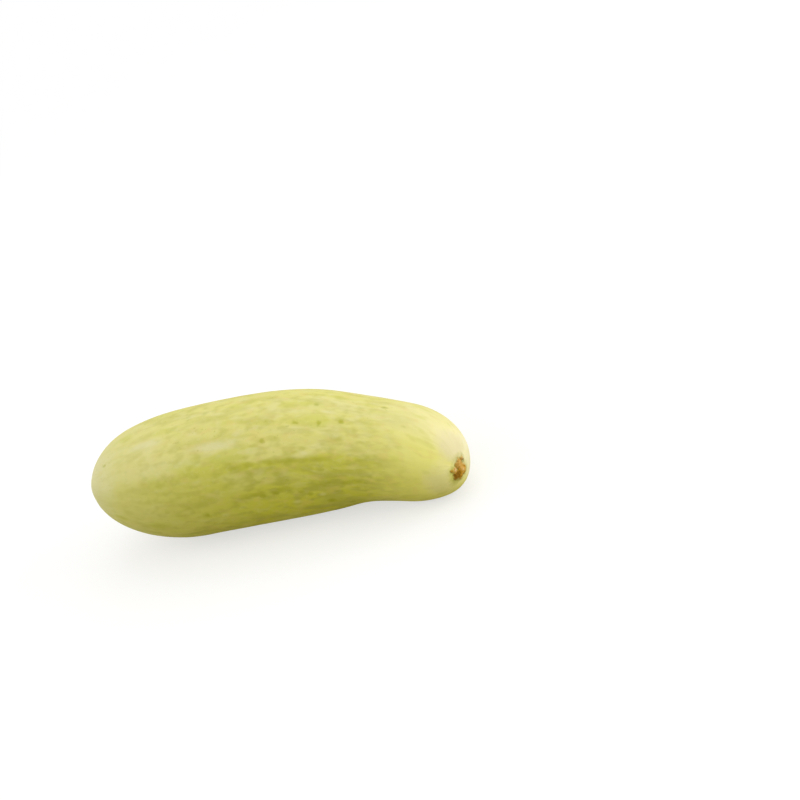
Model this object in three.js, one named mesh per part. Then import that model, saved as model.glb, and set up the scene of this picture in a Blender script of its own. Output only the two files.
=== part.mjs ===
// White cucumber: one whole fruit as picked, lying on its side on a level surface.
// Millimetres, +Z up. +X runs from the blossom end to the stem end, and the fruit
// bends towards -Y. The origin is on the surface, under the middle of the fruit's box.
import * as THREE from "three";

// The spine, from tip to tip. It is almost straight at first, and most of its bend
// is in the stem half. Headings are degrees towards +Y, at equal steps along it.
const LENGTH = 190;
const HEADINGS = [12, 7, 4, -4, -20.5];

// The girth, as radii at equal steps along the spine, before the ends round off.
const BODY_RADII = [29.8, 30.2, 30.4, 30.3, 29.7, 28, 24.3, 21.1, 17.9];
const LOBES = 5; // soft lengthwise corners of the section
const LOBE_HEIGHT = 0.009; // of the radius
const LOBE_ANGLE = 150; // degrees from +Y, over the top, to the first corner

// The rounded ends. A higher power makes a blunter end. Each tip stands off the
// spine by its rise (+Z) and its swing (towards +Y, square to the spine).
const BLOSSOM_END = { length: 55, power: 2.05, rise: 2.9, swing: 1.3 };
const STEM_END = { length: 29.5, power: 2.65, rise: 1.3, swing: -5.8 };

// The healed scars, shallow dishes at the two tips.
const STEM_SCAR = { radius: 5, depth: 0.9 };
const BLOSSOM_SCAR = { radius: 2.6, depth: 0.5 };

// The underside. It is nearly straight, and settles on a slim flat.
const END_LIFT = 0.2; // height of the underside line at the tips over its middle
const REST_FLAT_DEPTH = 0.95; // how far the round belly is pressed in by its own weight

// Mesh fineness.
const COLUMNS = 32;
const RINGS = 38;

const SKIN_COLOUR = 0xd2cb84;

// A smooth curve through values at equal steps, read from u = 0 to u = 1.
function smoothThrough(values) {
  const curve = new THREE.SplineCurve(
    values.map((value, step) => new THREE.Vector2(step, value)),
  );
  return (u) => curve.getPoint(u).y;
}

const bodyRadiusAt = smoothThrough(BODY_RADII);
const headingAt = smoothThrough(HEADINGS.map(THREE.MathUtils.degToRad));

// How far into an end's cap a place is: 0 where the cap starts, 1 at the tip.
function capReach(distanceFromTip, end) {
  return Math.max(0, 1 - distanceFromTip / end.length);
}

function capScale(reach, end) {
  return (1 - reach ** end.power) ** (1 / end.power);
}

// How far a place at this radius sinks into the dish of a scar.
function dishDepth(radius, scar) {
  const inside = Math.max(0, 1 - (radius / scar.radius) ** 2);
  return scar.depth * inside ** 2;
}

// Stations crowd towards the tips, so that the caps stay round.
function spineStations() {
  const stations = [];
  const point = new THREE.Vector2(0, 0);
  let lastDistance = 0;
  let lastHeading = headingAt(0);
  for (let i = 0; i <= RINGS; i += 1) {
    const u = 0.5 - 0.5 * Math.cos((Math.PI * i) / RINGS);
    const distance = u * LENGTH;
    const heading = headingAt(u);
    const middleHeading = (heading + lastHeading) / 2;
    point.x += Math.cos(middleHeading) * (distance - lastDistance);
    point.y += Math.sin(middleHeading) * (distance - lastDistance);
    stations.push({ u, distance, heading, x: point.x, y: point.y });
    lastDistance = distance;
    lastHeading = heading;
  }
  return stations;
}

// One ring of the skin. The first and last rings shrink to the tips.
function ringAt({ u, distance, heading, x, y }) {
  const blossomReach = capReach(distance, BLOSSOM_END);
  const stemReach = capReach(LENGTH - distance, STEM_END);
  const girth = bodyRadiusAt(u);
  const radius = girth * capScale(blossomReach, BLOSSOM_END) * capScale(stemReach, STEM_END);

  const swing = BLOSSOM_END.swing * blossomReach ** 2 + STEM_END.swing * stemReach ** 2;
  const rise = BLOSSOM_END.rise * blossomReach ** 2 + STEM_END.rise * stemReach ** 2;
  const sink = u < 0.5 ? dishDepth(radius, BLOSSOM_SCAR) : -dishDepth(radius, STEM_SCAR);
  const height = girth - REST_FLAT_DEPTH + END_LIFT * (2 * u - 1) ** 2 + rise;

  const along = new THREE.Vector3(Math.cos(heading), Math.sin(heading), 0);
  const across = new THREE.Vector3(-along.y, along.x, 0);
  const centre = new THREE.Vector3(x, y, height)
    .addScaledVector(across, swing)
    .addScaledVector(along, sink);

  const ring = [];
  for (let column = 0; column < COLUMNS; column += 1) {
    const angle = (2 * Math.PI * column) / COLUMNS;
    const corner = Math.cos(LOBES * (angle - THREE.MathUtils.degToRad(LOBE_ANGLE)));
    const reach = radius * (1 + LOBE_HEIGHT * corner);
    const point = centre.clone().addScaledVector(across, reach * Math.cos(angle));
    point.z = Math.max(0, point.z + reach * Math.sin(angle));
    ring.push(point);
  }
  return radius > 0 ? ring : [centre];
}

// Quads between neighbouring rings, each as two triangles, and a fan at each tip.
function skinGeometry() {
  const rings = spineStations().map(ringAt);
  const vertices = rings.flat();
  const starts = [];
  let count = 0;
  for (const ring of rings) {
    starts.push(count);
    count += ring.length;
  }

  const faces = [];
  for (let row = 0; row < rings.length - 1; row += 1) {
    const near = rings[row].length;
    const far = rings[row + 1].length;
    for (let column = 0; column < COLUMNS; column += 1) {
      const next = (column + 1) % COLUMNS;
      const a = starts[row] + (column % near);
      const b = starts[row] + (next % near);
      const c = starts[row + 1] + (next % far);
      const d = starts[row + 1] + (column % far);
      if (far > 1) {
        faces.push(a, c, d);
      }
      if (near > 1) {
        faces.push(a, b, c);
      }
    }
  }

  const geometry = new THREE.BufferGeometry().setFromPoints(vertices);
  geometry.setIndex(faces);
  geometry.computeBoundingBox();
  const middle = geometry.boundingBox.getCenter(new THREE.Vector3());
  geometry.translate(-middle.x, -middle.y, 0);
  geometry.computeVertexNormals();
  return geometry;
}

const skin = new THREE.MeshStandardMaterial({
  color: SKIN_COLOUR,
  roughness: 0.55,
  metalness: 0,
});

const cucumber = new THREE.Mesh(skinGeometry(), skin);
cucumber.name = "cucumber";

const group = new THREE.Group();
group.add(cucumber);

export default group;
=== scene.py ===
import math

import bmesh
import bpy
import numpy as np
from mathutils import Matrix, Vector, noise


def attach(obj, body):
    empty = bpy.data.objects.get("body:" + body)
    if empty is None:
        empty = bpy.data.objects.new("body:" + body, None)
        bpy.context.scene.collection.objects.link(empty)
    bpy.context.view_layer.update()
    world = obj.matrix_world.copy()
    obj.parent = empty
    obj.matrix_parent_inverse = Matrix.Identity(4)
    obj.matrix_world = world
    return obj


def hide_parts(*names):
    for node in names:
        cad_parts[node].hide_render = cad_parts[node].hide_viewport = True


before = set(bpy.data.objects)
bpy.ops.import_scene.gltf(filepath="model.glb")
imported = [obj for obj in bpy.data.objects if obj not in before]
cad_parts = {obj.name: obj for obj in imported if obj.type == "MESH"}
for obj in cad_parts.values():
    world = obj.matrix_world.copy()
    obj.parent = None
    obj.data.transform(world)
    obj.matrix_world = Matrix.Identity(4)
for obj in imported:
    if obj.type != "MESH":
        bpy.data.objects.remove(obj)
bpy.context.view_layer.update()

# ---------------------------------------------------------------- camera
# The camera is in front and to the right of the fruit. It looks down on it and is
# turned on its own axis, so the fruit lies slantwise, low on the left of the view.
CAMERA_AZIMUTH = math.radians(28.93)
CAMERA_ELEVATION = math.radians(30)
CAMERA_ROLL = math.radians(-24.84)
CAMERA_OFFSET = Vector((0.04696, 0.04926, 0.88307))  # right, up and back, in its own axes
CAMERA_LENS = 85

bpy.ops.object.select_all(action="DESELECT")
bpy.ops.object.camera_add()
camera = bpy.context.object
camera.name = "camera"
camera.data.lens = CAMERA_LENS
camera_turn = (
    Matrix.Rotation(CAMERA_AZIMUTH, 4, "Z")
    @ Matrix.Rotation(math.pi / 2 - CAMERA_ELEVATION, 4, "X")
    @ Matrix.Rotation(CAMERA_ROLL, 4, "Z")
)
camera.matrix_world = Matrix.Translation(camera_turn @ CAMERA_OFFSET) @ camera_turn
bpy.context.scene.camera = camera
bpy.context.scene.view_settings.view_transform = "Standard"

# ---------------------------------------------------------------- light
# Plain soft studio light: an even pale room, a broad lamp overhead, and a broad
# lamp at each end of the fruit. The room is white where the camera, a reflection or
# glass shows it.
ROOM_LIGHT = 0.72
ROOM_TINT = (1, 0.99, 0.96, 1)
ROOM_WHITE = (1, 1, 1, 1)
LAMP_SIZE = 1.6
LAMPS = {  # where each lamp stands, and its watts
    "overhead_lamp": (Vector((0, 1, 1.5)), 3.2),
    "right_lamp": (Vector((1.65, 0.4, 0.5)), 15.5),
    "left_lamp": (Vector((-1.5, -0.5, 0.7)), 7),
}


def shown_rays(nodes, links):
    """1 for a ray that shows the backdrop: to the camera, off gloss or through glass."""
    path = nodes.new("ShaderNodeLightPath")
    shown = path.outputs["Is Camera Ray"]
    for kind in ("Is Glossy Ray", "Is Transmission Ray"):
        either = nodes.new("ShaderNodeMath")
        either.operation = "ADD"
        links.new(shown, either.inputs[0])
        links.new(path.outputs[kind], either.inputs[1])
        shown = either.outputs["Value"]
    return shown


room = bpy.data.worlds.new("pale_room")
bpy.context.scene.world = room
room.use_nodes = True
room_nodes, room_links = room.node_tree.nodes, room.node_tree.links
room_nodes.clear()
room_out = room_nodes.new("ShaderNodeOutputWorld")
room_mix = room_nodes.new("ShaderNodeMixShader")
room_soft = room_nodes.new("ShaderNodeBackground")
room_soft.inputs["Color"].default_value = ROOM_TINT
room_soft.inputs["Strength"].default_value = ROOM_LIGHT
room_seen = room_nodes.new("ShaderNodeBackground")
room_seen.inputs["Color"].default_value = ROOM_WHITE
room_links.new(shown_rays(room_nodes, room_links), room_mix.inputs["Fac"])
room_links.new(room_soft.outputs["Background"], room_mix.inputs[1])
room_links.new(room_seen.outputs["Background"], room_mix.inputs[2])
room_links.new(room_mix.outputs["Shader"], room_out.inputs["Surface"])

for name, (place, watts) in LAMPS.items():
    bpy.ops.object.select_all(action="DESELECT")
    bpy.ops.object.light_add(type="AREA", location=place)
    lamp = bpy.context.object
    lamp.name = name
    lamp.data.shape = "DISK"
    lamp.data.size = LAMP_SIZE
    lamp.data.energy = watts
    lamp.rotation_euler = place.to_track_quat("Z", "Y").to_euler()

# ---------------------------------------------------------------- floor
# A plain pale sheet under the fruit. It is seen as white with a soft shadow, and
# throws back the straw tint that a pile of the same fruit would.
FLOOR_SIZE = 16
FLOOR_GLOW = 0.6
FLOOR_WHITE = (0.46, 0.46, 0.46, 1)
FLOOR_BOUNCE = (0.38, 0.35, 0.13, 1)
FADE_START = 0.25  # m from the fruit, where the shaded sheet starts to turn plain white
FADE_END = 0.7

bpy.ops.object.select_all(action="DESELECT")
bpy.ops.mesh.primitive_plane_add(size=FLOOR_SIZE)
floor = bpy.context.object
floor.name = "floor"
floor_paint = bpy.data.materials.new("floor_paint")
floor_paint.use_nodes = True
floor_nodes, floor_links = floor_paint.node_tree.nodes, floor_paint.node_tree.links
floor_nodes.clear()

# Near the fruit the sheet is seen lit and shaded, over a glow that lifts its shadow.
floor_lit = floor_nodes.new("ShaderNodeBsdfDiffuse")
floor_lit.inputs["Color"].default_value = FLOOR_WHITE
floor_glow = floor_nodes.new("ShaderNodeEmission")
floor_glow.inputs["Strength"].default_value = FLOOR_GLOW
floor_seen = floor_nodes.new("ShaderNodeAddShader")
floor_links.new(floor_lit.outputs["BSDF"], floor_seen.inputs[0])
floor_links.new(floor_glow.outputs["Emission"], floor_seen.inputs[1])

# Further off it turns plain white.
floor_place = floor_nodes.new("ShaderNodeTexCoord")
floor_way = floor_nodes.new("ShaderNodeVectorMath")
floor_way.operation = "LENGTH"
floor_far = floor_nodes.new("ShaderNodeMapRange")
floor_far.interpolation_type = "SMOOTHSTEP"
floor_far.inputs["From Min"].default_value = FADE_START
floor_far.inputs["From Max"].default_value = FADE_END
floor_white = floor_nodes.new("ShaderNodeEmission")
floor_shown = floor_nodes.new("ShaderNodeMixShader")
floor_links.new(floor_place.outputs["Object"], floor_way.inputs[0])
floor_links.new(floor_way.outputs["Value"], floor_far.inputs["Value"])
floor_links.new(floor_far.outputs["Result"], floor_shown.inputs["Fac"])
floor_links.new(floor_seen.outputs["Shader"], floor_shown.inputs[1])
floor_links.new(floor_white.outputs["Emission"], floor_shown.inputs[2])

# What it throws back at the fruit is its own colour.
floor_thrown = floor_nodes.new("ShaderNodeBsdfDiffuse")
floor_thrown.inputs["Color"].default_value = FLOOR_BOUNCE
floor_mix = floor_nodes.new("ShaderNodeMixShader")
floor_out = floor_nodes.new("ShaderNodeOutputMaterial")
floor_links.new(shown_rays(floor_nodes, floor_links), floor_mix.inputs["Fac"])
floor_links.new(floor_thrown.outputs["BSDF"], floor_mix.inputs[1])
floor_links.new(floor_shown.outputs["Shader"], floor_mix.inputs[2])
floor_links.new(floor_mix.outputs["Shader"], floor_out.inputs["Surface"])
floor.data.materials.append(floor_paint)

# ---------------------------------------------------------------- cucumber
# The whole fruit: firm flesh under one unbroken waxy skin, grown on the vine. The stalk
# has come away and left a cork scar at the stem end, and the flower a small dry button
# at the other. It lies on its side on a slim flat.
MM = 0.001
FRUIT_RADIUS = 30 * MM  # what the grain is unrolled to, whatever the girth
MERGE_GAP = 0.01 * MM

bpy.ops.object.select_all(action="DESELECT")
fruit = bpy.data.objects.new("cucumber_fruit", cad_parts["cucumber"].data.copy())
bpy.context.collection.objects.link(fruit)
bpy.context.view_layer.objects.active = fruit
fruit.select_set(True)
bpy.ops.object.mode_set(mode="EDIT")
bpy.ops.mesh.select_all(action="SELECT")
bpy.ops.mesh.remove_doubles(threshold=MERGE_GAP)

# A tip is one vertex that a whole ring runs in to. The fan of faces there is inset
# twice, which gives the scars enough mesh, and stays triangles at its heart.
TIP_EDGES = 8  # only at a tip do more edges than this meet
TIP_INSET = 1.3 * MM
QUAD_BEND = math.radians(60)  # how bent a pair of triangles may be, to become a quad
QUAD_SKEW = math.radians(120)

cage = bmesh.from_edit_mesh(fruit.data)
tips = [vertex for vertex in cage.verts if len(vertex.link_edges) > TIP_EDGES]
for face in cage.faces:
    face.select_set(any(vertex in tips for vertex in face.verts))
bmesh.update_edit_mesh(fruit.data)
bpy.ops.mesh.select_mode(type="FACE")
bpy.ops.mesh.inset(thickness=TIP_INSET, depth=0)
bpy.ops.mesh.inset(thickness=TIP_INSET, depth=0)
bpy.ops.mesh.select_all(action="INVERT")
bpy.ops.mesh.tris_convert_to_quads(face_threshold=QUAD_BEND, shape_threshold=QUAD_SKEW)
bpy.ops.mesh.select_all(action="SELECT")
bpy.ops.mesh.normals_make_consistent(inside=False)
bpy.ops.object.mode_set(mode="OBJECT")

# The grain says where each point of the skin would be if the fruit were straight and
# even: the way along the skin from the blossom tip, then the place round the stem.
# The station is the way along the middle. Both are worked out ring by ring.
cage = bmesh.new()
cage.from_mesh(fruit.data)
grain_layer = cage.verts.layers.float_vector.new("grain")
station_layer = cage.verts.layers.float.new("station")
tips = [vertex for vertex in cage.verts if len(vertex.link_edges) > TIP_EDGES]
ring = {min(tips, key=lambda vertex: vertex.co.x)}
seen = set()
rings = []
while ring:
    rings.append(ring)
    seen |= ring
    ring = {edge.other_vert(v) for v in ring for edge in v.link_edges} - seen

centres = np.array([np.mean([v.co for v in ring], axis=0) for ring in rings])
girths = np.array(
    [np.mean([(v.co - Vector(c)).length for v in ring]) for ring, c in zip(rings, centres)]
)
steps = np.linalg.norm(np.diff(centres, axis=0), axis=1)
stations = np.concatenate([[0], np.cumsum(steps)])
skin_ways = np.concatenate([[0], np.cumsum(np.hypot(steps, np.diff(girths)))])
headings = np.gradient(centres, axis=0)
for ring, centre, heading, station, way in zip(
    rings, centres, headings, stations, skin_ways
):
    across = Vector((-heading[1], heading[0], 0)).normalized()
    for vertex in ring:
        out = vertex.co - Vector(centre)
        turn = Vector((0, out.dot(across), out.z)).normalized()
        vertex[grain_layer] = turn * FRUIT_RADIUS + Vector((way, 0, 0))
        vertex[station_layer] = station

# Each end's axis is taken between two rings, counted from its tip, clear of the insets.
NEAR_RING = 3
FAR_RING = 8
stem_tip = max((vertex.co.copy() for vertex in tips), key=lambda place: place.x)
stem_axis = Vector(centres[-1 - NEAR_RING] - centres[-1 - FAR_RING]).normalized()
stem_across = Vector((0, 0, 1)).cross(stem_axis).normalized()
stem_up = stem_axis.cross(stem_across)
blossom_tip = min((vertex.co.copy() for vertex in tips), key=lambda place: place.x)
blossom_axis = Vector(centres[NEAR_RING] - centres[FAR_RING]).normalized()
cage.to_mesh(fruit.data)
cage.free()

SKIN_FINENESS = 3  # rounds of smoothing
smooth = fruit.modifiers.new("smooth", "SUBSURF")
smooth.levels = SKIN_FINENESS
smooth.render_levels = SKIN_FINENESS
bpy.ops.object.modifier_apply(modifier="smooth")
bpy.ops.object.shade_smooth()

# The relief that growth leaves in the skin, in millimetres out from the smooth shape.
# Stations are in millimetres too. An angle is in degrees round the middle: 90 is the
# top and 180 the side that the fruit bends towards.
skin_mesh = fruit.data
count = len(skin_mesh.vertices)


def read(source, name, width):
    """One kind of value of every point of the skin, in rows of this width."""
    values = np.empty(count * width)
    source.foreach_get(name, values)
    return values.reshape(count, width) if width > 1 else values


places = read(skin_mesh.vertices, "co", 3)
outward = read(skin_mesh.vertex_normals, "vector", 3)
grain = read(skin_mesh.attributes["grain"].data, "vector", 3) / MM
station = read(skin_mesh.attributes["station"].data, "value", 1) / MM
angle = np.degrees(np.arctan2(grain[:, 2], grain[:, 1])) % 360


def swell(length, width, shift):
    """Smooth rises and hollows from -1 to 1, drawn out along the fruit."""
    spread = grain / (length, width, width) + shift
    return np.array([noise.noise(place) for place in spread.tolist()])


def rise(values, start, end):
    """0 before start and 1 after end, with a smooth rise between them."""
    part = np.clip((values - start) / (end - start), 0, 1)
    return part * part * (3 - 2 * part)


def angle_off(middle):
    """How far round each point is from this angle, from -180 to 180 degrees."""
    return (angle - middle + 180) % 360 - 180


def ridge(middle, half_width):
    """1 along a lengthwise line at this angle, falling off to each side."""
    return np.exp(-((angle_off(middle) / half_width) ** 2))


def spot(place, middle, half_length, half_width):
    """1 at a place on the skin, falling off along the fruit and round it."""
    round_way = np.radians(angle_off(middle)) * FRUIT_RADIUS / MM
    return np.exp(-(((station - place) / half_length) ** 2) - (round_way / half_width) ** 2)


# Broad bulges and hollows, where the fruit isn't quite round. Each is its station, its
# angle, its half length, its half width, and its height.
BULGES = (
    (18, 70, 15, 24, 0.9), (100, 240, 30, 21, 0.5), (138, 240, 12, 21, -1.2),
    (165, 240, 13, 21, 1.2), (182, 75, 14, 24, 0.8),
)
relief = 0.5 * swell(48, 30, 3.1)
for *where, tall in BULGES:
    relief += tall * spot(*where)

# Finer ripples along the body: length, width, place in the noise, and height.
RIPPLES = ((80, 9, 7.7, 0.3), (16, 6, 1.9, 0.1), (6, 4, 6.3, 0.06))
body = rise(station, 0, 50) * rise(station, 188, 145)
relief += body * sum(tall * swell(*ripple) for *ripple, tall in RIPPLES)

# One soft corner stands proud along the body. Two thin creases wander beside it and
# below it. Each is its angle, its place in the noise, the stations where it starts and
# is deep, and the stations where it ends and is still deep.
CORNER_ANGLE = 150
CORNER_WIDTH = 7
CORNER_HEIGHT = 0.2
CREASES = ((152, 5.2, 70, 90, 148, 130), (181, 8.4, 76, 96, 152, 134))
CREASE_WIDTH = 4
CREASE_DEPTH = 0.1
CREASE_WANDER = 4
relief += body * CORNER_HEIGHT * ridge(CORNER_ANGLE, CORNER_WIDTH)
for middle, shift, start, full_from, end, full_to in CREASES:
    crease = ridge(middle + CREASE_WANDER * swell(20, 40, shift), CREASE_WIDTH)
    crease *= rise(station, start, full_from) * rise(station, end, full_to)
    relief -= CREASE_DEPTH * crease


def around_tip(tip, axis):
    """Distance from a tip in millimetres, and the angle round its axis."""
    out = (places - np.array(tip)) / MM
    up = np.array([0, 0, 1]) - axis[2] * np.array(axis)
    across = np.cross(up, axis)
    return np.linalg.norm(out, axis=1), np.arctan2(out @ up, out @ across)


def pucker(distance, turn, folds, depth, reach):
    """Shallow folds in the skin that run in to a scar and fade away from it."""
    return depth * np.cos(folds * turn) * np.exp(-distance / reach) * rise(distance, 1, 4)


# The stem scar is cork and torn fibre, in uneven lobes. Each lobe is its place across
# and up from the tip, its radius, and its height. The pits among them are the same.
SCAR_LOBES = (
    (0.6, 1.1, 2.4, 0.6), (1.4, -2.4, 2.7, 0.75), (-2.6, -0.1, 1.6, 1.5),
    (-2.5, -2.7, 2.4, -1.15), (3.2, 1.9, 1.1, 0.8), (-1, -3.9, 1.7, -0.3),
    (-4.3, 1.1, 0.8, -0.5), (0.7, 2.9, 1.3, 0.4),
)
SCAR_PITS = (
    (3.4, 0.6, 0.5, -1.3), (-0.9, -1, 0.6, -0.9), (-0.3, -2.6, 0.5, -0.6),
    (2, -0.4, 0.5, -0.5), (-3.9, -1.2, 0.7, -0.8), (1.2, -4.4, 0.6, -0.5),
)
STEM_PART = 150  # the stem end is past this station
SCAR_REACH = 9  # from the tip
OUTSIDE_SCAR = -9.0  # well outside every lobe
SCAR_EDGE = (-0.3, 0.9)  # the cork rises over this, from outside the lobes to inside
CRUMB_SIZE = 1.3
CRUMB_HEIGHTS = ((1, 0.35), (2.3, 0.25))  # how much finer, and how high
CORK_HEIGHT = 0.35
CORK_ROUGHNESS = 0.45
stem_distance, stem_turn = around_tip(stem_tip, stem_axis)
at_stem = station > STEM_PART
near_scar = at_stem & (stem_distance < SCAR_REACH)
from_stem = (places - np.array(stem_tip)) / MM
across_up = from_stem @ np.array([stem_across, stem_up]).T
inside_scar = np.full(count, OUTSIDE_SCAR)  # how far in from the edge of the lobes
crumbs = np.zeros(count)
for across, up, radius, tall in SCAR_LOBES + SCAR_PITS:
    off = np.linalg.norm(across_up - (across, up), axis=1)
    crumbs += near_scar * tall * np.exp(-((off / radius) ** 2))
    if (across, up, radius, tall) in SCAR_LOBES:
        inside_scar = np.where(near_scar, np.maximum(inside_scar, radius - off), inside_scar)
crumbs[near_scar] += [
    sum(tall * noise.noise(Vector(place) * finer) for finer, tall in CRUMB_HEIGHTS)
    for place in (places[near_scar] / MM / CRUMB_SIZE).tolist()
]
cork = rise(inside_scar, *SCAR_EDGE) * near_scar
relief += cork * (CORK_HEIGHT + CORK_ROUGHNESS * crumbs)

# The skin swells to a low rim round the stem scar, and folds run in to it.
RIM_RADIUS = 6
RIM_WIDTH = 1.3
RIM_HEIGHT = 0.2
rim = np.exp(-(((stem_distance - RIM_RADIUS) / RIM_WIDTH) ** 2))
stem_folds = stem_turn + 0.6 * swell(20, 20, 4)  # not quite straight
relief += RIM_HEIGHT * rim * at_stem
relief += pucker(stem_distance, stem_folds, folds=5, depth=0.14, reach=5) * at_stem

# The blossom end has its dry button, and finer folds.
BLOSSOM_PART = 40  # the blossom end is before this station
BUTTON_HEIGHT = 0.5
BUTTON_EDGE = (2.2, 1.2)  # its radii at its foot and its top
blossom_distance, blossom_turn = around_tip(blossom_tip, blossom_axis)
blossom_folds = blossom_turn + 0.8 * swell(20, 20, 6)
at_blossom = station < BLOSSOM_PART
relief += BUTTON_HEIGHT * rise(blossom_distance, *BUTTON_EDGE) * at_blossom
relief += pucker(blossom_distance, blossom_folds, folds=7, depth=0.18, reach=6) * at_blossom

# The underside stays flat where the fruit lies, and the relief comes in above it.
FLAT_EDGE = (0.05, 3)
off_floor = rise(places[:, 2] / MM, *FLAT_EDGE)
places += outward * (relief * off_floor * MM)[:, None]
places[:, 2] = np.maximum(places[:, 2], 0)
skin_mesh.vertices.foreach_set("co", places.ravel())
skin_mesh.update()

# Flecks, where the skin was rubbed or bruised as it grew. Each is its station, its
# angle, its half length, its half width, and how dark it is.
FLECKS = (
    (95, 182, 2.6, 1.4, 1.1), (102, 181, 2, 1.5, 1.4), (108, 183, 2.4, 1.2, 0.7),
    (114, 184, 2.4, 1.3, 0.9), (118, 188, 2.2, 1.4, 1.2), (126, 201, 2.4, 1.7, 1.4),
    (130, 177, 2.2, 1.4, 1), (138, 177, 3, 1.3, 0.5), (146, 176, 3, 1.2, 0.5),
    (102, 131, 1.8, 1.7, 1.1), (109, 129, 1.8, 1.3, 0.7), (118, 115, 2.2, 1.4, 1),
    (129, 115, 1.4, 2.6, 1), (139, 111, 1.6, 1.8, 1.3), (126, 93, 1.9, 1.3, 0.9),
    (156, 84, 2, 1.4, 1.2), (169, 106, 2, 1.2, 0.9), (148, 97, 1.6, 1.2, 0.4),
    (63, 101, 2, 1.4, 0.4), (16, 116, 1.8, 1.6, 0.8), (64, 191, 1.6, 2, 1),
    (70, 193, 1.4, 1.8, 0.6), (134, 212, 2.4, 1.8, 1.1), (40, 30, 2.6, 1.8, 0.9),
    (72, 340, 3, 1.8, 1), (98, 20, 2.4, 1.4, 0.8), (121, 300, 3.4, 2, 1),
    (150, 15, 2.2, 1.4, 0.6), (58, 235, 2.8, 1.6, 0.8), (142, 245, 2.4, 1.6, 0.9),
)
flecks = np.max([strength * spot(*where) for *where, strength in FLECKS], axis=0)

# Broad patches, drawn out along the fruit. Each is placed as a fleck is, and its last
# number is how much paler with bloom it is, or how much greener where it is below 0.
# Some greener patches low on the stem half are partly painted shade.
PATCHES = (
    (16, 146, 6, 5, 0.6), (22, 108, 13, 4, 0.4), (29, 94, 5, 3, -0.6),
    (41, 112, 9, 2.4, 0.8), (77, 128, 14, 2.6, 0.85), (108, 135, 12, 3, 0.25),
    (132, 101, 5, 1.8, 0.8), (132, 140, 6, 2, 0.3), (102, 166, 14, 5, 0.25),
    (122, 145, 3, 1.4, 0.6), (128, 112, 6, 4.5, -0.9), (118, 115, 5, 2, -0.6),
    (85, 142, 12, 1.8, -0.7), (80, 172, 20, 4, -0.3), (17, 187, 5, 2.4, -0.7),
    (37, 195, 8, 3, -0.6), (124, 191, 3, 1.6, 0.7), (110, 195, 3, 1.6, 0.5),
    (72, 195, 3, 2, 0.4), (63, 191, 3, 2.4, -0.6), (78, 210, 5, 3, -0.7),
    (127, 200, 8, 4, -0.9), (135, 211, 7, 4, -1), (152, 186, 12, 4, -0.3),
    (66, 104, 20, 2.2, 0.3), (95, 97, 16, 2.4, 0.3), (150, 110, 9, 2.4, 0.3),
    (60, 60, 18, 3, 0.6), (100, 40, 16, 3, 0.5), (40, 20, 12, 3, -0.6),
    (120, 355, 14, 4, -0.5), (80, 300, 16, 5, 0.4), (140, 60, 12, 3, 0.4),
    (60, 260, 14, 4, -0.5),
)
patches = sum(strength * spot(*where) for *where, strength in PATCHES)

# The top is paler, partly as sun-paled skin and partly as painted light, down to an
# edge that wanders along each shoulder. This is how far the edge is from the top at
# these stations, in degrees. The far shoulder wanders as the near one does, a little
# further along.
SHOULDER_STATIONS = (0, 60, 78, 88, 100, 120, 126, 134, 142, 190)
SHOULDER_ANGLES = (50, 49, 48, 57, 60, 59, 54, 54, 57, 57)
FAR_SHIFT = 25
far_side = grain[:, 1] > 0
edge_angle = np.interp(station + FAR_SHIFT * far_side, SHOULDER_STATIONS, SHOULDER_ANGLES)
flank = np.abs(angle_off(90)) - edge_angle

for name, values in (
    ("flecks", flecks),
    ("patches", patches),
    ("flank", flank),
    ("crumbs", crumbs),
    ("inside_scar", inside_scar),
):
    carried = skin_mesh.attributes.new(name, "FLOAT", "POINT")
    carried.data.foreach_set("value", values)

# The skin: pale yellow-green with a waxy sheen, creamy at the stem end and dusted
# with bloom at the blossom end. It is mottled and streaked along its length.
TOP_PALED_AND_LIT = (0.76, 0.72, 0.225, 1)
FLANK = (0.665, 0.65, 0.095, 1)
BELLY = (0.62, 0.6, 0.04, 1)
CREAM = (0.93, 0.855, 0.465, 1)
CREAM_BELLY = (0.93, 0.88, 0.25, 1)
CAP_CREAM_AND_RIM_LIGHT = (0.97, 0.91, 0.62, 1)
BLUSH_AND_SHADE = (0.82, 0.74, 0.44, 1)
BLOOM = (0.79, 0.74, 0.46, 1)
FROST_AND_SHEEN = (0.77, 0.74, 0.58, 1)
PALE = (0.8, 0.76, 0.41, 1)
GREEN = (0.62, 0.63, 0.1, 1)
SHADE = (0.5, 0.49, 0.07, 1)
TAWNY = (0.78, 0.6, 0.2, 1)
OLIVE = (0.4, 0.41, 0.01, 1)

skin = bpy.data.materials.new("cucumber_skin")
skin.use_nodes = True
skin_nodes, skin_links = skin.node_tree.nodes, skin.node_tree.links
shader = skin_nodes["Principled BSDF"]


def wire(value, socket):
    """Sets a socket to a value, or links another node's output to it."""
    if isinstance(value, bpy.types.NodeSocket):
        skin_links.new(value, socket)
    else:
        socket.default_value = value


def skin_value(name, output="Fac"):
    """A value that the points of the skin carry."""
    carried = skin_nodes.new("ShaderNodeAttribute")
    carried.attribute_name = name
    return carried.outputs[output]


def math_node(operation, first, second=0.0):
    node = skin_nodes.new("ShaderNodeMath")
    node.operation = operation
    wire(first, node.inputs[0])
    wire(second, node.inputs[1])
    return node.outputs["Value"]


def both(first, second):
    return math_node("MULTIPLY", first, second)


def plus(first, second):
    return math_node("ADD", first, second)


def mask(value, start, end, most=1.0):
    """0 at start and most at end, with a smooth rise between them."""
    node = skin_nodes.new("ShaderNodeMapRange")
    node.interpolation_type = "SMOOTHSTEP"
    wire(value, node.inputs["Value"])
    wire(start, node.inputs["From Min"])
    wire(end, node.inputs["From Max"])
    wire(most, node.inputs["To Max"])
    return node.outputs["Result"]


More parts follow.
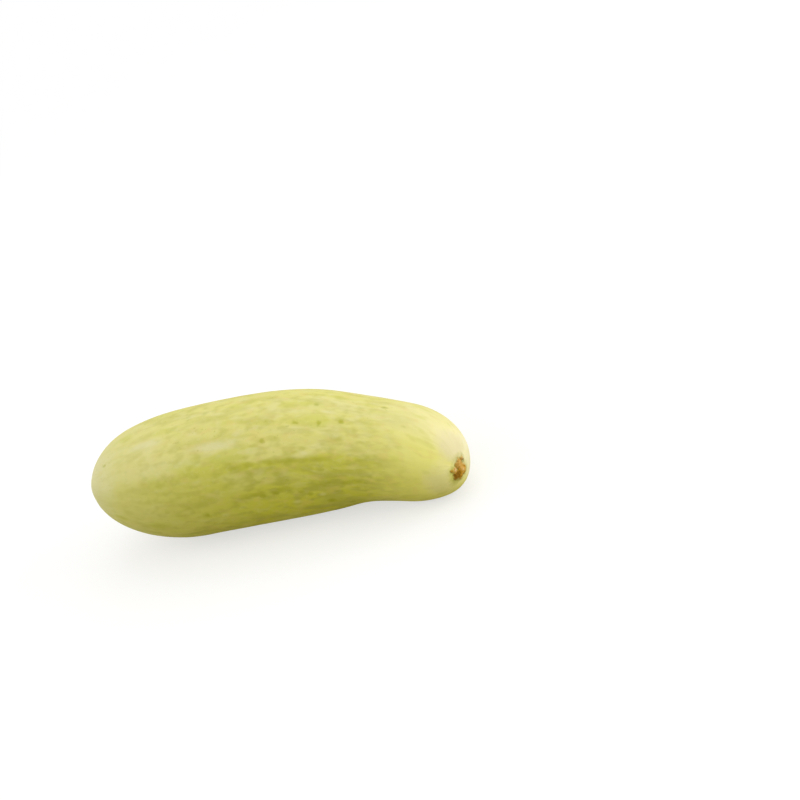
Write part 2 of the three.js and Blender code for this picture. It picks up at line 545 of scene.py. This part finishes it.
def laid_over(under, colour, amount):
    """A colour over another: none of it at amount 0, and nothing else at 1."""
    mix = skin_nodes.new("ShaderNodeMix")
    mix.data_type = "RGBA"
    wire(amount, mix.inputs[0])
    wire(under, mix.inputs[6])
    wire(colour, mix.inputs[7])
    return mix.outputs[2]


def dot_with(direction):
    """How far along this direction a point of the unrolled grain lies."""
    node = skin_nodes.new("ShaderNodeVectorMath")
    node.operation = "DOT_PRODUCT"
    wire(grain_place, node.inputs[0])
    wire(direction, node.inputs[1])
    return node.outputs["Value"]


def mottle(length, width, shift, detail=2.0):
    """Soft patches of about this length and width, drawn out along the grain."""
    spread = skin_nodes.new("ShaderNodeMapping")
    wire(grain_place, spread.inputs["Vector"])
    wire((shift, shift, shift), spread.inputs["Location"])
    wire((1 / (length * MM), 1 / (width * MM), 1 / (width * MM)), spread.inputs["Scale"])
    cloud = skin_nodes.new("ShaderNodeTexNoise")
    wire(spread.outputs["Vector"], cloud.inputs["Vector"])
    wire(1.0, cloud.inputs["Scale"])
    wire(detail, cloud.inputs["Detail"])
    return cloud.outputs["Fac"]


def plain_noise(size, detail=2.0):
    """Noise with no grain, in patches of this size."""
    shape = skin_nodes.new("ShaderNodeTexCoord")
    cloud = skin_nodes.new("ShaderNodeTexNoise")
    wire(shape.outputs["Object"], cloud.inputs["Vector"])
    wire(1 / (size * MM), cloud.inputs["Scale"])
    wire(detail, cloud.inputs["Detail"])
    return cloud.outputs["Fac"]


def wander(cloud, reach):
    """Noise turned to a shift that goes as far below 0 as above it."""
    return both(math_node("SUBTRACT", cloud, 0.5), reach)


def way_from(place):
    """Distance from a place, in millimetres."""
    shape = skin_nodes.new("ShaderNodeTexCoord")
    node = skin_nodes.new("ShaderNodeVectorMath")
    node.operation = "DISTANCE"
    wire(shape.outputs["Object"], node.inputs[0])
    wire(tuple(place), node.inputs[1])
    return both(node.outputs["Value"], 1 / MM)


grain_place = skin_value("grain", "Vector")
along = both(skin_value("station"), 1 / MM)
height = both(dot_with((0, 0, 1)), 1 / FRUIT_RADIUS)
upper = mask(height, -0.2, 1)
lower = math_node("SUBTRACT", 1.0, upper)

# The paler top's edge is crisp in the middle of the fruit and soft at both ends.
tip_side = math_node("MAXIMUM", mask(along, 88, 30), mask(along, 145, 185))
edge_start = plus(both(tip_side, -14), -3)
edge_end = plus(both(tip_side, 20), 3)
past_edge = plus(skin_value("flank"), wander(mottle(16, 6, 3.7, 1), 12))
# The top is lighter and the underside darker and yellower, partly the skin's own colour and
# partly painted light on the top and painted shade underneath.
colour = laid_over(TOP_PALED_AND_LIT, FLANK, mask(past_edge, edge_start, edge_end))
colour = laid_over(colour, BELLY, mask(height, 0.6, -0.8))

# Bloom dusts the blossom end, most of all underneath. Above the tip its frost is partly
# bloom and partly a painted sheen, where light glances off the tip.
dusty = plus(both(lower, 0.2), 0.25)
colour = laid_over(colour, BLOOM, both(mask(along, 105, -10), dusty))
frost_and_sheen_way = way_from(blossom_tip + Vector((0, -6, 12)) * MM)
colour = laid_over(colour, FROST_AND_SHEEN, mask(frost_and_sheen_way, 33, 3, 0.45))


def mottled(under, tone, cloud, start, full, most, where):
    """A tone laid on where the mottle is past start, and most of it where it is full."""
    return laid_over(under, tone, both(mask(mottle(*cloud), start, full, most), where))


# Mottling, from coarse to fine. Pale mottles show on the lit side and shade on the
# low side, most of all towards the stem. Each is its tone, its length, width, place in
# the noise and detail, and then as mottled says.
over_body = both(mask(along, -15, 75), mask(along, 200, 145))
over_top = both(plus(both(upper, 0.55), 0.45), over_body)
over_belly = both(plus(both(upper, -0.55), 1.15), over_body)
over_belly = both(over_belly, plus(both(mask(along, 70, 115, 0.5), lower), 1))
for mottling in (
    (PALE, (40, 9, 61.95, 1), 0.5, 0.7, 0.38, over_top),
    (GREEN, (26, 8, 4.41, 1), 0.5, 0.7, 0.45, over_body),
    (SHADE, (16, 6, 59.21, 1), 0.48, 0.7, 0.56, over_belly),
    (PALE, (10, 4.4, 56.47, 1), 0.5, 0.72, 0.3, over_top),
    (SHADE, (6, 3.2, 75.65, 1), 0.42, 0.74, 0.6, over_belly),
    (PALE, (3, 2.3, 5.5, 2), 0.52, 0.72, 0.16, over_top),
    (TAWNY, (7, 4, 31.7, 1), 0.5, 0.72, 0.24, over_body),
):
    colour = mottled(colour, *mottling)

# The broad patches, with blotchy edges. Underneath, the greener ones also darken, partly
# as painted shade.
blotchy = both(skin_value("patches"), plus(mottle(9, 3, 2.3), 0.5))
colour = laid_over(colour, PALE, mask(blotchy, 0.1, 0.9, 0.75))
colour = laid_over(colour, GREEN, mask(blotchy, -0.1, -0.5, 0.4))
colour = laid_over(colour, SHADE, both(mask(blotchy, -0.2, -0.9, 0.6), lower))

# Thin darker lines lie in the creases, broken here and there. Each is its angle, the
# stations where it starts and ends, and its place in the noise.
LINES = ((151, 78, 140, 1.3), (179.5, 78, 152, 6.7))
LINE_EDGE = 2.4 * MM
LINE_CORE = 0.4 * MM
LINE_WANDER = 5 * MM
LINE_FADE_IN = 14
LINE_FADE_OUT = 16
LINE_STRENGTH = 0.55


def line(middle, start, end, shift):
    turn = math.radians(middle)
    beside = dot_with((0, -math.sin(turn), math.cos(turn)))
    facing = mask(dot_with((0, math.cos(turn), math.sin(turn))), 0, 0.3 * FRUIT_RADIUS)
    off = math_node("ABSOLUTE", plus(beside, wander(mottle(22, 30, shift), LINE_WANDER)))
    drawn = both(mask(off, LINE_EDGE, LINE_CORE), facing)
    fade_in = mask(along, start, start + LINE_FADE_IN)
    fade_out = mask(along, end, end - LINE_FADE_OUT)
    broken = mask(mottle(9, 6, shift + 1), 0.3, 0.65)
    return both(both(drawn, both(fade_in, fade_out)), broken)


for crease in LINES:
    colour = laid_over(colour, OLIVE, both(line(*crease), LINE_STRENGTH))

# The flecks, with ragged edges, and small specks in loose swarms.
fleck = skin_value("flecks")
fleck_edge = plus(fleck, wander(mottle(2, 1.4, 9.3), 1.2))
colour = laid_over(colour, OLIVE, both(mask(fleck_edge, 0.2, 0.9, 0.62), fleck))
swarm = mask(mottle(30, 18, 7.1), 0.5, 0.6)
speck = both(mask(mottle(1.7, 1.3, 3.4, 1.0), 0.66, 0.76), swarm)
colour = laid_over(colour, OLIVE, both(speck, 0.28))

# The stem end is creamy, paler above than below, with a mottling of its own.
cream_way = plus(plus(along, both(mottle(22, 12, 6.6), 30)), both(upper, -8))
cream = mask(cream_way, 154, 200, 0.92)
pale_cream = mask(both(dot_with((0, 0.5, 0.87)), 1 / FRUIT_RADIUS), 0.35, 1)
# Below, the cream is yellower but no darker, partly as painted light thrown up from beneath.
colour = laid_over(colour, laid_over(CREAM_BELLY, CREAM, pale_cream), cream)
over_neck = mask(along, 135, 165)
for mottling in (
    (GREEN, (8, 5, 21.9, 1), 0.5, 0.75, 0.3, over_neck),
    (TAWNY, (6, 4, 44.3, 1), 0.5, 0.75, 0.22, over_neck),
):
    colour = mottled(colour, *mottling)

# Tints round the stem scar: a cream cap that is partly a painted rim light; a faded
# side that is partly painted light thrown up from below; a blush above, darker, that is
# partly painted shade; a bruise and a dark smear. Each is its tone, its place across
# and up from the tip, the size and reach of the noise at its edge, its outer and inner
# radius, and its strength.
STEM_TINTS = (
    (CAP_CREAM_AND_RIM_LIGHT, 14, -2, 7, 9, 19, 7, 0.92),
    (CREAM, -8, -2, 5, 6, 13, 4, 0.6),
    (BLUSH_AND_SHADE, 4, 11, 6, 8, 11, 4, 0.75),
    (FLANK, -3.6, -1, 3, 4, 5, 2, 0.4),
    (OLIVE, -4.8, -5, 1.5, 2, 3.8, 0.8, 0.4),
)
for tone, across, up, size, reach, outer, inner, most in STEM_TINTS:
    middle = stem_tip + across * MM * stem_across + up * MM * stem_up
    tint_way = plus(way_from(middle), wander(plain_noise(size), reach))
    colour = laid_over(colour, tone, mask(tint_way, outer, inner, most))

# The stem scar's cork, with ragged edges in an olive ring. It is brown in its pits
# and pale on its crests, partly its own colour and partly painted shade in the pits and
# a painted highlight on the crests.
CORK_BROWN = (0.29, 0.135, 0.001, 1)
CORK_RUST = (0.56, 0.28, 0.01, 1)
CORK_TAN = (0.74, 0.43, 0.09, 1)
CORK_PALE_HIGHLIGHT = (0.95, 0.68, 0.4, 1)
ragged = plus(wander(plain_noise(2.6), 1.4), wander(plain_noise(1.1), 1.6))
ragged = plus(ragged, skin_value("inside_scar"))
cork_mask = mask(ragged, -0.5, 0.8)
cork_tone_and_shade = plus(skin_value("crumbs"), wander(plain_noise(0.9), 1.2))
cork_colour = laid_over(CORK_BROWN, CORK_RUST, mask(cork_tone_and_shade, -0.6, -0.1))
cork_colour = laid_over(cork_colour, CORK_TAN, mask(cork_tone_and_shade, -0.1, 0.4))
cork_colour = laid_over(cork_colour, CORK_PALE_HIGHLIGHT, mask(cork_tone_and_shade, 0.8, 1.3, 0.9))
colour = laid_over(colour, OLIVE, mask(ragged, -2.2, 0.2, 0.45))
colour = laid_over(colour, cork_colour, cork_mask)

# The blossom end's button is dry as cork too.
button_way = plus(way_from(blossom_tip), wander(plain_noise(1.4), 1.5))
button_mask = mask(button_way, 2.45, 1.65)
colour = laid_over(colour, OLIVE, mask(button_way, 3.85, 2.25, 0.4))
colour = laid_over(colour, cork_colour, button_mask)
wire(colour, shader.inputs["Base Color"])

# The wax is satin, a little uneven, and the cork is dull.
SATIN_ROUGHNESS = 0.65
SATIN_SPECULAR = 0.3
CORK_DULLNESS = 0.85
dry = math_node("MAXIMUM", cork_mask, button_mask)
satin = plus(mask(mottle(14, 5, 2.2), 0.3, 0.7, 0.16), SATIN_ROUGHNESS)
dull = both(dry, CORK_DULLNESS)
wire(math_node("MAXIMUM", satin, dull), shader.inputs["Roughness"])
shader.inputs["Specular IOR Level"].default_value = SATIN_SPECULAR

# Fine ripples in the skin and the crumbs of the cork, in millimetres.
over_skin = both(mask(along, 6, 40), mask(along, 186, 150))
skin_height = plus(both(mottle(8, 2.4, 2.9), 0.12), both(mottle(1.8, 1.4, 4.4), 0.07))
skin_height = both(skin_height, over_skin)
cork_height = both(both(plain_noise(0.9, 4.0), 0.9), dry)
bump = skin_nodes.new("ShaderNodeBump")
wire(1.0, bump.inputs["Strength"])
wire(MM, bump.inputs["Distance"])
wire(plus(skin_height, cork_height), bump.inputs["Height"])
wire(bump.outputs["Normal"], shader.inputs["Normal"])

# Light goes a little way into the flesh.
shader.inputs["Subsurface Weight"].default_value = 0.1
shader.inputs["Subsurface Radius"].default_value = (1, 0.9, 0.35)
shader.inputs["Subsurface Scale"].default_value = 3 * MM

skin_mesh.materials.clear()
skin_mesh.materials.append(skin)

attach(fruit, "root")
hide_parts("cucumber")
